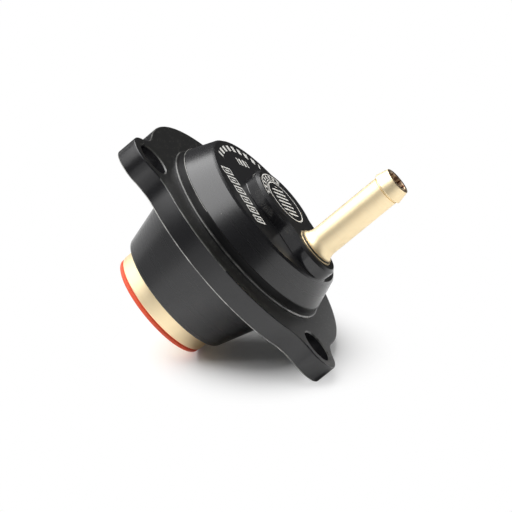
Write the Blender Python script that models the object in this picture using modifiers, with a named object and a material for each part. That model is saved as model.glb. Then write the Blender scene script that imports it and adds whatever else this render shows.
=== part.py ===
"""Blow off valve with an eared mounting flange.

A turned black body carries the flange, a tapered skirt and the bore. A brass piston slides in
the bore along +Z and is pushed out of the skirt by a coil spring until its shoulder meets the
lip of the body. A screwed cap closes the bore, holds the spring and carries the hose nipple on
a keyhole-shaped boss. The origin is the centre of the piston's nose face, and +Z is the bore's
axis, towards the cap. Sizes are in millimetres and are turned to metres where meshes are made.
"""
from math import acos, atan2, ceil, cos, pi, radians, sin, sqrt, tau

import bmesh
import bpy

MM = 0.001

# Clearances
SEAT_GAP = 0.3          # between pieces that rest on each other
THREAD_GAP = 0.3        # radial, spigot in body
RUN_GAP = 0.25          # radial, piston in its bore and lip
RING_GAP = 0.15         # radial, guide ring in the bore
WASHER_GAP = 0.15       # above and below the nipple's thin washer
SHANK_GAP = 0.25        # radial, nipple shank in its hole
CUT_PAST = 1.0          # how far a cutter runs past the face that it opens

# Piston
PISTON_STEM_R = 12.0    # the part that shows below the skirt
PISTON_SHOULDER_W = 1.3     # the head's step past the stem
PISTON_HEAD_H = 9.5
PISTON_WALL = 1.4       # round the cup that is open to the cap
PISTON_FLOOR_T = 2.4    # above the rim that carries the face seal
PISTON_SHOWS = 3.3      # stem that shows between skirt and rim, closed
PISTON_EDGE = 0.2       # chamfer of rim and crown
PISTON_TRAVEL = 8.0
NOSE_H = 1.1            # the disc inside the face seal

# Face seal on the piston
SEAL_W = 2.0
SEAL_H = 1.1

# Guide ring on the piston's head
RING_W = 2.0
RING_T = 0.6
RING_FROM_SHOULDER = 4.0

# Body
LIP_H = 4.0             # the inward lip that stops the piston
SKIRT_END_WALL = 1.5    # round the lip's hole
SKIRT_TOP_WALL = 4.25   # round the bore, where the skirt meets the flange
SKIRT_PAST_CROWN = 0.45     # mounting face above the closed piston's crown
SKIRT_EDGE = 0.35
FLANGE_T = 4.6
FLANGE_W = 6.7          # disc past the land
FLANGE_EDGE = 0.3
LAND_W = 0.6            # low step round the collar's foot
LAND_H = 0.6
COLLAR_WALL = 2.7       # round the cap's threaded hole
COLLAR_H = 2.1          # above the flange's top face
SPIGOT_HOLE_FLOOR_T = 1.9   # left under the cap's threaded hole, above the mounting face

# Mounting ears
EAR_COUNT = 3
EAR_PAST_RIM = 0.4      # bolt holes' circle outside the disc's rim
EAR_WALL = 2.0          # round the bolt hole
EAR_FILLET_R = 8.0
BOLT_HOLE_D = 7.0
BOLT_HOLE_CHAMFER = 0.4

# Ring groove in the mounting face, and its O-ring
FACE_RING_OUT = 2.8     # centre line outside the skirt's top
FACE_RING_D = 1.8
FACE_GROOVE_DEPTH = 1.4

# Cap
CAP_H = 5.4             # rim to top face
CAP_INSET = 0.2         # rim inside the collar's wall
CAP_TAPER = 2.0         # top edge inside the rim
CAP_RIM_EDGE = 0.3
CAP_CHAMFER_W = 0.5
CAP_CHAMFER_H = 0.45
SPIGOT_WALL = 4.05      # round the bore
SPRING_POCKET_DEPTH = 2.0
CAP_RING_D = 1.4        # O-ring round the spigot
CAP_RING_BELOW_RIM = 2.4

# Boss on the cap
BOSS_R = 8.4
BOSS_TAB_WALL = 1.55    # round the washer's seat
BOSS_FILLET_R = 4.0
BOSS_H = 2.95
BOSS_EDGE = 0.5

# Hose nipple
NIPPLE_FROM_EDGE = 6.55     # its axis inside the cap's top edge
NIPPLE_SHAFT_D = 6.35
NIPPLE_WALL = 1.025     # round the bore, at the shaft
NIPPLE_L = 21.1         # collar's underside to tip
NIPPLE_COLLAR_H = 0.4
NIPPLE_FLARE_W = 0.875  # collar past the shaft
NIPPLE_FLARE_H = 1.7
BARB_STEP = 0.425       # shoulder past the shaft
BARB_H = 2.75           # shoulder to tip
BARB_TIP_WALL = 0.82    # round the bore
BARB_EDGE = 0.2
SHANK_STEP = 0.325      # threaded shank inside the shaft
SHANK_L = 5.2
SHANK_WALL = 1.25
WASHER_SHOWS = 0.25     # washer past the collar
WASHER_T = 0.35
SPOT_FACE_DEPTH = 0.25  # shallow seat for the washer in the boss
SPOT_FACE_GAP = 0.2     # radial, round the washer

# Return spring
SPRING_CUP_GAP = 2.45   # between the wire and the cup's wall
SPRING_WIRE_D = 1.5
SPRING_TURNS = 5        # between the closed end turns
SPRING_POCKET_GAP = 0.25

# Facets
WIDE_STEPS = 72
BORE_STEPS = 48
HOLE_STEPS = 28
RING_STEPS = 40
SPRING_STEPS = 12       # points in one turn of the wire
ARC_STEP = radians(6)

# Radii of the piston and its bore, then of what lies round them
PISTON_HEAD_R = PISTON_STEM_R + PISTON_SHOULDER_W
PISTON_CUP_R = PISTON_STEM_R - PISTON_WALL
NOSE_R = PISTON_STEM_R - SEAL_W - SEAT_GAP
LIP_R = PISTON_STEM_R + RUN_GAP
BORE_R = PISTON_HEAD_R + RUN_GAP
SKIRT_END_R = LIP_R + SKIRT_END_WALL
SKIRT_TOP_R = BORE_R + SKIRT_TOP_WALL
SPIGOT_R = BORE_R + SPIGOT_WALL
SPIGOT_HOLE_R = SPIGOT_R + THREAD_GAP
COLLAR_R = SPIGOT_HOLE_R + COLLAR_WALL
LAND_R = COLLAR_R + LAND_W
FLANGE_R = LAND_R + FLANGE_W
EAR_PITCH_R = FLANGE_R + EAR_PAST_RIM
EAR_R = BOLT_HOLE_D / 2 + EAR_WALL
FACE_RING_R = SKIRT_TOP_R + FACE_RING_OUT
CAP_RIM_R = COLLAR_R - CAP_INSET
CAP_TOP_R = CAP_RIM_R - CAP_TAPER
SPRING_R = PISTON_CUP_R - SPRING_CUP_GAP - SPRING_WIRE_D / 2
SPRING_POCKET_R = SPRING_R + SPRING_WIRE_D / 2 + SPRING_POCKET_GAP

# Nipple and the tab that carries it
NIPPLE_X = CAP_TOP_R - NIPPLE_FROM_EDGE
NIPPLE_COLLAR_R = NIPPLE_SHAFT_D / 2 + NIPPLE_FLARE_W
BARB_R = NIPPLE_SHAFT_D / 2 + BARB_STEP
NIPPLE_BORE_R = NIPPLE_SHAFT_D / 2 - NIPPLE_WALL
BARB_TIP_R = NIPPLE_BORE_R + BARB_TIP_WALL
SHANK_R = NIPPLE_SHAFT_D / 2 - SHANK_STEP
SHANK_HOLE_R = SHANK_R + SHANK_GAP
SHANK_BORE_R = SHANK_R - SHANK_WALL
WASHER_R = NIPPLE_COLLAR_R + WASHER_SHOWS
SPOT_FACE_R = WASHER_R + SPOT_FACE_GAP
BOSS_TAB_R = SPOT_FACE_R + BOSS_TAB_WALL

# Levels along the axis
RIM_Z = NOSE_H
PISTON_FLOOR_Z = RIM_Z + PISTON_FLOOR_T
SKIRT_Z = RIM_Z + PISTON_SHOWS
LEDGE_Z = SKIRT_Z + LIP_H
SHOULDER_Z = LEDGE_Z + SEAT_GAP
CROWN_Z = SHOULDER_Z + PISTON_HEAD_H
FACE_Z = CROWN_Z + SKIRT_PAST_CROWN
FLANGE_Z = FACE_Z + FLANGE_T
COLLAR_Z = FLANGE_Z + COLLAR_H
SPIGOT_FLOOR_Z = FACE_Z + SPIGOT_HOLE_FLOOR_T
SPIGOT_Z = SPIGOT_FLOOR_Z + SEAT_GAP
CAP_RIM_Z = COLLAR_Z + SEAT_GAP
CAP_TOP_Z = CAP_RIM_Z + CAP_H
CEILING_Z = CROWN_Z + PISTON_TRAVEL + SEAT_GAP
POCKET_Z = CEILING_Z + SPRING_POCKET_DEPTH
BOSS_Z = CAP_TOP_Z + BOSS_H
WASHER_Z = BOSS_Z - SPOT_FACE_DEPTH + WASHER_GAP
NIPPLE_Z = WASHER_Z + WASHER_T + WASHER_GAP


def clear_scene():
    for obj in list(bpy.data.objects):
        bpy.data.objects.remove(obj, do_unlink=True)


def new_collection(name):
    collection = bpy.data.collections.new(name)
    bpy.context.scene.collection.children.link(collection)
    return collection


def material(name, color, metallic, roughness):
    mat = bpy.data.materials.new(name)
    mat.use_nodes = True
    shader = mat.node_tree.nodes["Principled BSDF"]
    shader.inputs["Base Color"].default_value = (*color, 1.0)
    shader.inputs["Metallic"].default_value = metallic
    shader.inputs["Roughness"].default_value = roughness
    mat.diffuse_color = (*color, 1.0)
    return mat


def bake(obj):
    """Turn an object with modifiers, or a curve, into a plain mesh object of the same name."""
    graph = bpy.context.evaluated_depsgraph_get()
    mesh = bpy.data.meshes.new_from_object(obj.evaluated_get(graph))
    name = obj.name
    place = obj.matrix_world.copy()
    collection = obj.users_collection[0]
    bpy.data.objects.remove(obj, do_unlink=True)
    solid = bpy.data.objects.new(name, mesh)
    solid.matrix_world = place
    collection.objects.link(solid)
    return solid


def weld(obj):
    bm = bmesh.new()
    bm.from_mesh(obj.data)
    bmesh.ops.remove_doubles(bm, verts=bm.verts, dist=0.000002)
    bm.to_mesh(obj.data)
    bm.free()


def turned(name, profile, steps, collection, closed=False):
    """Turn a profile of (radius, height) about Z. It runs down the piece's outer side."""
    mesh = bpy.data.meshes.new(name)
    points = [(r * MM, 0.0, z * MM) for r, z in profile]
    edges = [(i, i + 1) for i in range(len(points) - 1)]
    if closed:
        edges.append((len(points) - 1, 0))
    mesh.from_pydata(points, edges, [])
    obj = bpy.data.objects.new(name, mesh)
    collection.objects.link(obj)
    screw = obj.modifiers.new("turn", "SCREW")
    screw.axis = "Z"
    screw.angle = tau
    screw.steps = steps
    screw.render_steps = steps
    screw.use_merge_vertices = True
    screw.merge_threshold = 0.00001
    return obj


def plate(name, outline, low, high, collection):
    """Extrude a flat outline of (x, y) between two heights."""
    curve = bpy.data.curves.new(name, "CURVE")
    curve.dimensions = "2D"
    curve.fill_mode = "BOTH"
    curve.extrude = (high - low) / 2 * MM
    spline = curve.splines.new("POLY")
    spline.points.add(len(outline) - 1)
    for point, (x, y) in zip(spline.points, outline):
        point.co = (x * MM, y * MM, 0.0, 1.0)
    spline.use_cyclic_u = True
    obj = bpy.data.objects.new(name, curve)
    obj.location.z = (low + high) / 2 * MM
    collection.objects.link(obj)
    bpy.context.view_layer.update()
    solid = bake(obj)
    weld(solid)
    return solid


def bevel_rims(obj, width):
    """Chamfer the edges where a plate's faces meet its wall."""
    bevel = obj.modifiers.new("edge", "BEVEL")
    bevel.width = width * MM
    bevel.segments = 1
    bevel.limit_method = "ANGLE"
    bevel.angle_limit = radians(50)


def combine(obj, tool, operation):
    boolean = obj.modifiers.new(tool.name, "BOOLEAN")
    boolean.operation = operation
    boolean.solver = "EXACT"
    boolean.object = tool
    tool.hide_render = True
    tool.display_type = "WIRE"


def finish(obj, mat, angle=35):
    """Apply the modifiers, give the piece its material and shade its round walls smooth."""
    bpy.context.view_layer.update()
    solid = bake(obj)
    mesh = solid.data
    mesh.materials.clear()
    mesh.materials.append(mat)
    mesh.shade_smooth()
    mesh.set_sharp_from_angle(angle=radians(angle))
    return solid


def arc(cx, cy, radius, start, end):
    """Points on an arc, both ends included, in steps near ARC_STEP."""
    count = max(2, ceil(abs(end - start) / ARC_STEP))
    angles = [start + (end - start) * i / count for i in range(count + 1)]
    return [(cx + radius * cos(a), cy + radius * sin(a)) for a in angles]


def join_points(*runs):
    """One list of points from several runs, without the doubles where they meet."""
    points = []
    for run in runs:
        for x, y in run:
            if not points or sqrt((x - points[-1][0]) ** 2 + (y - points[-1][1]) ** 2) > 0.001:
                points.append((x, y))
    if sqrt((points[0][0] - points[-1][0]) ** 2 + (points[0][1] - points[-1][1]) ** 2) <= 0.001:
        points.pop()
    return points


def ear_angles():
    return [tau * i / EAR_COUNT for i in range(EAR_COUNT)]


def blend(fx, fy, radius, start, end):
    """The short arc about (fx, fy) that faces from one centre, start, round to the other, end."""
    a = atan2(start[1] - fy, start[0] - fx)
    b = atan2(end[1] - fy, end[0] - fx)
    turn = (b - a + pi) % tau - pi
    return arc(fx, fy, radius, a, a + turn)


def flange_outline():
    """A disc with equal ears, each blended into the disc by two concave fillets."""
    far = FLANGE_R + EAR_FILLET_R
    near = EAR_R + EAR_FILLET_R
    # Angle at the disc's centre, in the triangle of disc, ear and fillet centres
    offset = acos((EAR_PITCH_R ** 2 + far ** 2 - near ** 2) / (2 * EAR_PITCH_R * far))
    runs = []
    for a in ear_angles():
        ear = (EAR_PITCH_R * cos(a), EAR_PITCH_R * sin(a))
        first = (far * cos(a - offset), far * sin(a - offset))
        last = (far * cos(a + offset), far * sin(a + offset))
        swing = atan2(far * sin(offset), far * cos(offset) - EAR_PITCH_R)
        runs.append(blend(*first, EAR_FILLET_R, (0, 0), ear))
        runs.append(arc(*ear, EAR_R, a - swing, a + swing))
        runs.append(blend(*last, EAR_FILLET_R, ear, (0, 0)))
        runs.append(arc(0, 0, FLANGE_R, a + offset, a + tau / EAR_COUNT - offset))
    return join_points(*runs)


def boss_outline():
    """A disc on the valve's axis and a round tab about the nipple, with concave blends."""
    fy = BOSS_TAB_R + BOSS_FILLET_R
    fx = sqrt((BOSS_R + BOSS_FILLET_R) ** 2 - fy ** 2)
    on_disc = atan2(fy, fx)
    return join_points(
        arc(0, 0, BOSS_R, on_disc, tau - on_disc),
        blend(fx, -fy, BOSS_FILLET_R, (0, 0), (fx, 0)),
        arc(NIPPLE_X, 0, BOSS_TAB_R, -pi / 2, pi / 2),
        blend(fx, fy, BOSS_FILLET_R, (fx, 0), (0, 0)),
    )


def ring_section(radius, height, width, tall, count=12):
    """An oval section for a seal, run down its outer side."""
    angles = [pi / 2 - tau * i / count for i in range(count)]
    return [(radius + width / 2 * cos(a), height + tall / 2 * sin(a)) for a in angles]


def body_blank():
    slope = (SKIRT_TOP_R - SKIRT_END_R) / (FACE_Z - SKIRT_Z)
    return [
        (0, COLLAR_Z),
        (COLLAR_R, COLLAR_Z),
        (COLLAR_R, FLANGE_Z + LAND_H),
        (LAND_R - LAND_H / 3, FLANGE_Z + LAND_H),
        (LAND_R, FLANGE_Z + LAND_H * 2 / 3),
        (LAND_R, FLANGE_Z - FLANGE_T / 3),
        (SKIRT_TOP_R, FLANGE_Z - FLANGE_T / 3),
        (SKIRT_TOP_R, FACE_Z),
        (SKIRT_END_R + slope * SKIRT_EDGE, SKIRT_Z + SKIRT_EDGE),
        (SKIRT_END_R - SKIRT_EDGE, SKIRT_Z),
        (0, SKIRT_Z),
    ]


def bolt_hole_cutter(index, angle, cutters):
    wide = BOLT_HOLE_D / 2 + BOLT_HOLE_CHAMFER + CUT_PAST
    profile = [
        (0, FLANGE_Z + CUT_PAST),
        (wide, FLANGE_Z + CUT_PAST),
        (BOLT_HOLE_D / 2, FLANGE_Z - BOLT_HOLE_CHAMFER),
        (BOLT_HOLE_D / 2, FACE_Z + BOLT_HOLE_CHAMFER),
        (wide, FACE_Z - CUT_PAST),
        (0, FACE_Z - CUT_PAST),
    ]
    cutter = turned(f"bolt_hole_{index}", profile, HOLE_STEPS, cutters)
    cutter.location.x = EAR_PITCH_R * cos(angle) * MM
    cutter.location.y = EAR_PITCH_R * sin(angle) * MM
    return cutter


def valve_body(parts, cutters, mat):
    body = turned("valve_body", body_blank(), WIDE_STEPS, parts)
    flange = plate("flange_plate", flange_outline(), FACE_Z, FLANGE_Z, cutters)
    bevel_rims(flange, FLANGE_EDGE)
    combine(body, flange, "UNION")
    bore = turned("body_bore", [
        (0, COLLAR_Z + CUT_PAST),
        (SPIGOT_HOLE_R, COLLAR_Z + CUT_PAST),
        (SPIGOT_HOLE_R, SPIGOT_FLOOR_Z),
        (BORE_R, SPIGOT_FLOOR_Z),
        (BORE_R, LEDGE_Z),
        (LIP_R, LEDGE_Z),
        (LIP_R, SKIRT_Z - CUT_PAST),
        (0, SKIRT_Z - CUT_PAST),
    ], BORE_STEPS, cutters)
    combine(body, bore, "DIFFERENCE")
    half = FACE_RING_D / 2 + SEAT_GAP
    groove = turned("face_groove", [
        (FACE_RING_R - half, FACE_Z + FACE_GROOVE_DEPTH),
        (FACE_RING_R + half, FACE_Z + FACE_GROOVE_DEPTH),
        (FACE_RING_R + half, FACE_Z - CUT_PAST),
        (FACE_RING_R - half, FACE_Z - CUT_PAST),
    ], BORE_STEPS, cutters, closed=True)
    combine(body, groove, "DIFFERENCE")
    for i, a in enumerate(ear_angles()):
        combine(body, bolt_hole_cutter(i + 1, a, cutters), "DIFFERENCE")
    return finish(body, mat)


def face_o_ring(parts, mat):
    height = FACE_Z + FACE_GROOVE_DEPTH - SEAT_GAP - FACE_RING_D / 2
    section = ring_section(FACE_RING_R, height, FACE_RING_D, FACE_RING_D, 8)
    return finish(turned("flange_o_ring", section, RING_STEPS, parts, closed=True), mat, 60)


def cap_groove_levels():
    """Lower and upper edge of the O-ring groove round the cap's spigot."""
    middle = CAP_RIM_Z - CAP_RING_BELOW_RIM
    half = CAP_RING_D / 2 + SEAT_GAP
    return middle - half, middle + half


def top_cap(parts, cutters, mat):
    low, high = cap_groove_levels()
    groove_r = SPIGOT_R - CAP_RING_D - SEAT_GAP
    cap = turned("top_cap", [
        (0, CAP_TOP_Z),
        (CAP_TOP_R - CAP_CHAMFER_W, CAP_TOP_Z),
        (CAP_TOP_R, CAP_TOP_Z - CAP_CHAMFER_H),
        (CAP_RIM_R, CAP_RIM_Z + CAP_RIM_EDGE),
        (CAP_RIM_R - CAP_RIM_EDGE, CAP_RIM_Z),
        (SPIGOT_R, CAP_RIM_Z),
        (SPIGOT_R, high),
        (groove_r, high),
        (groove_r, low),
        (SPIGOT_R, low),
        (SPIGOT_R, SPIGOT_Z),
        (0, SPIGOT_Z),
    ], WIDE_STEPS, parts)
    boss = plate("boss", boss_outline(), CAP_TOP_Z - BOSS_H / 2, BOSS_Z, cutters)
    bevel_rims(boss, BOSS_EDGE)
    combine(cap, boss, "UNION")
    chamber = turned("cap_chamber", [
        (0, POCKET_Z),
        (SPRING_POCKET_R, POCKET_Z),
        (SPRING_POCKET_R, CEILING_Z),
        (BORE_R, CEILING_Z),
        (BORE_R, SPIGOT_Z - CUT_PAST),
        (0, SPIGOT_Z - CUT_PAST),
    ], BORE_STEPS, cutters)
    combine(cap, chamber, "DIFFERENCE")
    shank_floor = NIPPLE_Z - SHANK_L - SEAT_GAP
    port = turned("nipple_port", [
        (0, BOSS_Z + CUT_PAST),
        (SPOT_FACE_R, BOSS_Z + CUT_PAST),
        (SPOT_FACE_R, BOSS_Z - SPOT_FACE_DEPTH),
        (SHANK_HOLE_R, BOSS_Z - SPOT_FACE_DEPTH),
        (SHANK_HOLE_R, shank_floor),
        (SHANK_BORE_R, shank_floor),
        (SHANK_BORE_R, CEILING_Z - CUT_PAST),
        (0, CEILING_Z - CUT_PAST),
    ], HOLE_STEPS, cutters)
    port.location.x = NIPPLE_X * MM
    combine(cap, port, "DIFFERENCE")
    return finish(cap, mat)


def cap_o_ring(parts, mat):
    low, high = cap_groove_levels()
    radius = SPIGOT_R - CAP_RING_D / 2
    section = ring_section(radius, (low + high) / 2, CAP_RING_D, CAP_RING_D, 8)
    return finish(turned("cap_o_ring", section, RING_STEPS, parts, closed=True), mat, 60)


def guide_groove():
    """Lower and upper edge and floor radius of the groove that holds the guide ring."""
    low = SHOULDER_Z + RING_FROM_SHOULDER
    return low, low + RING_W + 2 * SEAT_GAP, BORE_R - RING_GAP - RING_T - SEAT_GAP


def piston(parts, mat):
    low, high, floor_r = guide_groove()
    obj = turned("piston", [
        (0, PISTON_FLOOR_Z),
        (PISTON_CUP_R, PISTON_FLOOR_Z),
        (PISTON_CUP_R, CROWN_Z),
        (PISTON_HEAD_R - PISTON_EDGE, CROWN_Z),
        (PISTON_HEAD_R, CROWN_Z - PISTON_EDGE),
        (PISTON_HEAD_R, high),
        (floor_r, high),
        (floor_r, low),
        (PISTON_HEAD_R, low),
        (PISTON_HEAD_R, SHOULDER_Z),
        (PISTON_STEM_R, SHOULDER_Z),
        (PISTON_STEM_R, RIM_Z + PISTON_EDGE),
        (PISTON_STEM_R - PISTON_EDGE, RIM_Z),
        (NOSE_R, RIM_Z),
        (NOSE_R, PISTON_EDGE),
        (NOSE_R - PISTON_EDGE, 0),
        (0, 0),
    ], WIDE_STEPS, parts)
    return finish(obj, mat)


def face_seal(parts, mat):
    radius = NOSE_R + SEAT_GAP + SEAL_W / 2
    height = RIM_Z - SEAT_GAP - SEAL_H / 2
    section = ring_section(radius, height, SEAL_W, SEAL_H, 10)
    return finish(turned("piston_face_seal", section, WIDE_STEPS, parts, closed=True), mat, 60)


def guide_ring(parts, mat):
    low, high, _ = guide_groove()
    outer = BORE_R - RING_GAP
    obj = turned("piston_guide_ring", [
        (outer, high - SEAT_GAP),
        (outer, low + SEAT_GAP),
        (outer - RING_T, low + SEAT_GAP),
        (outer - RING_T, high - SEAT_GAP),
    ], RING_STEPS, parts, closed=True)
    return finish(obj, mat)


def spring_height(turn, low, high):
    """Height of the wire after so many turns: one closed turn at each end, even pitch between."""
    closed = SPRING_WIRE_D + SEAT_GAP
    pitch = (high - low - 2 * closed) / SPRING_TURNS
    if turn < 1:
        return low + closed * turn
    if turn < 1 + SPRING_TURNS:
        return low + closed + pitch * (turn - 1)
    return high - closed * (SPRING_TURNS + 2 - turn)


def return_spring(parts, mat):
    low = PISTON_FLOOR_Z + SEAT_GAP + SPRING_WIRE_D / 2
    high = POCKET_Z - SEAT_GAP - SPRING_WIRE_D / 2
    count = SPRING_STEPS * (SPRING_TURNS + 2)
    curve = bpy.data.curves.new("return_spring", "CURVE")
    curve.dimensions = "3D"
    curve.bevel_depth = SPRING_WIRE_D / 2 * MM
    curve.bevel_resolution = 2
    curve.use_fill_caps = True
    spline = curve.splines.new("POLY")
    spline.points.add(count)
    for i, point in enumerate(spline.points):
        turn = i / SPRING_STEPS
        x = SPRING_R * cos(tau * turn)
        y = SPRING_R * sin(tau * turn)
        point.co = (x * MM, y * MM, spring_height(turn, low, high) * MM, 1.0)
    obj = bpy.data.objects.new("return_spring", curve)
    parts.objects.link(obj)
    bpy.context.view_layer.update()
    solid = bake(obj)
    weld(solid)
    return finish(solid, mat, 60)


def nipple_flare():
    """Concave sweep from the shaft down to the collar's rim."""
    shaft = NIPPLE_SHAFT_D / 2
    steps = 6
    points = []
    for i in range(steps + 1):
        a = pi / 2 * i / steps
        radius = shaft + NIPPLE_FLARE_W * (1 - cos(a))
        points.append((radius, NIPPLE_COLLAR_H + NIPPLE_FLARE_H * (1 - sin(a))))
    return points


def hose_nipple(parts, mat):
    shaft = NIPPLE_SHAFT_D / 2
    shoulder = NIPPLE_L - BARB_H
    profile = [
        (NIPPLE_BORE_R + BARB_EDGE, NIPPLE_L),
        (BARB_TIP_R - BARB_EDGE, NIPPLE_L),
        (BARB_TIP_R, NIPPLE_L - BARB_EDGE),
        (BARB_R, shoulder + BARB_EDGE),
        (BARB_R - BARB_EDGE / 2, shoulder),
        (shaft, shoulder),
    ]
    profile += nipple_flare()
    profile += [
        (NIPPLE_COLLAR_R, 0),
        (SHANK_R, 0),
        (SHANK_R, -SHANK_L + BARB_EDGE),
        (SHANK_R - BARB_EDGE, -SHANK_L),
        (SHANK_BORE_R, -SHANK_L),
        (SHANK_BORE_R, 0),
        (NIPPLE_BORE_R, NIPPLE_BORE_R - SHANK_BORE_R),
        (NIPPLE_BORE_R, NIPPLE_L - BARB_EDGE),
    ]
    obj = turned("hose_nipple", profile, HOLE_STEPS, parts, closed=True)
    obj.location = (NIPPLE_X * MM, 0, NIPPLE_Z * MM)
    return finish(obj, mat)


def nipple_washer(parts, mat):
    obj = turned("nipple_washer", [
        (WASHER_R, WASHER_T),
        (WASHER_R, 0),
        (SHANK_HOLE_R, 0),
        (SHANK_HOLE_R, WASHER_T),
    ], HOLE_STEPS, parts, closed=True)
    obj.location = (NIPPLE_X * MM, 0, WASHER_Z * MM)
    return finish(obj, mat)


def ride_piston(parts, pieces):
    """The moving pieces hang from an empty on the axis that they slide along."""
    slide = bpy.data.objects.new("piston_slide_axis", None)
    parts.objects.link(slide)
    for piece in pieces:
        piece.parent = slide


def main():
    clear_scene()
    parts = new_collection("blow_off_valve")
    cutters = new_collection("cutters")
    black = material("black_anodised_aluminium", (0.012, 0.012, 0.013), 0.85, 0.38)
    brass = material("brass", (0.80, 0.63, 0.36), 1.0, 0.28)
    silicone = material("orange_silicone", (0.80, 0.13, 0.05), 0.0, 0.45)
    rubber = material("black_rubber", (0.02, 0.02, 0.02), 0.0, 0.6)
    steel = material("spring_steel", (0.55, 0.55, 0.56), 1.0, 0.3)
    ptfe = material("bronze_filled_ptfe", (0.32, 0.22, 0.12), 0.0, 0.5)

    valve_body(parts, cutters, black)
    face_o_ring(parts, rubber)
    top_cap(parts, cutters, black)
    cap_o_ring(parts, rubber)
    moving = [piston(parts, brass), face_seal(parts, silicone), guide_ring(parts, ptfe)]
    ride_piston(parts, moving)
    return_spring(parts, steel)
    hose_nipple(parts, brass)
    nipple_washer(parts, brass)


main()
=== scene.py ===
"""Looks of a blow off valve.

The body and cap are aluminium, anodised black. The piston, the hose nipple and its washer are
turned brass, and the face seal is orange silicone. The valve lies tilted on a white table, on
the rims of its seal and flange and on one ear, under one large softbox above and to the left,
with white cards to its left and in front.
Sizes are in millimetres and are turned to metres where meshes are made.
"""

from math import acos, atan2, ceil, cos, pi, radians, sin, sqrt, tan, tau

import bmesh
import bpy
from mathutils import Matrix, Vector


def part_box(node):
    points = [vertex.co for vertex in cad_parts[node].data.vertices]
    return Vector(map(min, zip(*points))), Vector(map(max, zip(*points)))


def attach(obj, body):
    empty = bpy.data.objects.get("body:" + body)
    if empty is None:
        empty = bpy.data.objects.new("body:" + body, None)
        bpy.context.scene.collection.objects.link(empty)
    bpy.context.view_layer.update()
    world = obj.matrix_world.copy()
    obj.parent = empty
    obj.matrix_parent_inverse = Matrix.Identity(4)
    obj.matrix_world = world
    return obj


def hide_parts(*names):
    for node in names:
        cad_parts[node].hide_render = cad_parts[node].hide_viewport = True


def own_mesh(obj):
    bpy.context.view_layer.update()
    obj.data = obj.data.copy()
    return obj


MM = 0.001

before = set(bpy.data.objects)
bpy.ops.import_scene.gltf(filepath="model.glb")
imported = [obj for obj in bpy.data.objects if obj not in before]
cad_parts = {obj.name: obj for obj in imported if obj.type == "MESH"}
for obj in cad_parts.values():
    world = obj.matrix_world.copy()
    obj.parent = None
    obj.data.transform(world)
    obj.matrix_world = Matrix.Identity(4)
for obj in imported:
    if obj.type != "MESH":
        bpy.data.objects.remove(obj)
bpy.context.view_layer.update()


def reach(node, axis, end):
    """How far a CAD node goes along an axis, 0 to 2, at its low end, 0, or high end, 1."""
    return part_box(node)[end][axis] / MM


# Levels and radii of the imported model
SKIRT_Z = reach("valve_body", 2, 0)
COLLAR_Z = reach("valve_body", 2, 1)
EAR_TIP_X = reach("valve_body", 0, 1)
SPIGOT_Z = reach("top_cap", 2, 0)
BOSS_Z = reach("top_cap", 2, 1)
CAP_RIM_R = reach("top_cap", 1, 1)
CROWN_Z = reach("piston", 2, 1)
PISTON_HEAD_R = reach("piston", 1, 1)
SEAL_LOW_Z = reach("piston_face_seal", 2, 0)
SEAL_OUT_R = reach("piston_face_seal", 1, 1)
NIPPLE_LOW_Z = reach("hose_nipple", 2, 0)
NIPPLE_TIP_Z = reach("hose_nipple", 2, 1)
NIPPLE_COLLAR_R = reach("hose_nipple", 1, 1)
NIPPLE_X = reach("hose_nipple", 0, 1) - NIPPLE_COLLAR_R
WASHER_R = reach("nipple_washer", 1, 1)
CAP_RING_LOW_Z = reach("cap_o_ring", 2, 0)
CAP_RING_HIGH_Z = reach("cap_o_ring", 2, 1)
SPRING_OUT_R = reach("return_spring", 1, 1)
SPRING_LOW_Z = reach("return_spring", 2, 0)
SPRING_HIGH_Z = reach("return_spring", 2, 1)
SEAT_GAP = 0.3          # between pieces that touch on the real valve
CUT_PAST = 1.0          # how far a cutter reaches past the face it starts from

# Body
COLLAR_H = 2.1
FLANGE_Z = COLLAR_Z - COLLAR_H
FLANGE_T = 4.6
FACE_Z = FLANGE_Z - FLANGE_T
LAND_H = 0.6
LAND_W = 0.7
COLLAR_R = CAP_RIM_R + 0.1
LAND_R = COLLAR_R + LAND_W
GLINT_SIDE = 0.97        # cosine of the angle either side of the nipple where a painted glint lies on the step
FLANGE_R = LAND_R + 6.7
SKIRT_END_R = 13.75
SKIRT_TOP_R = 17.8
LIP_R = 12.25
LIP_H = 4.0
BORE_R = PISTON_HEAD_R + 0.25
SPIGOT_HOLE_R = 17.9
SPIGOT_FLOOR_Z = FACE_Z + 1.9
EDGE_R = 0.15           # broken edges of turned pieces
COLLAR_EDGE = 0.09

# Ears
EAR_COUNT = 3
EAR_R = 5.5
EAR_PITCH_R = EAR_TIP_X - EAR_R
EAR_FILLET_R = 8.0
BOLT_HOLE_R = 3.5
BOLT_HOLE_CHAMFER = 0.25
FLANGE_EDGE = 0.22

# Ring in the mounting face
FACE_RING_R = 20.6
FACE_RING_D = 1.8
FACE_GROOVE_DEPTH = 1.4
FACE_GROOVE_GAP = 0.3

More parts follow.
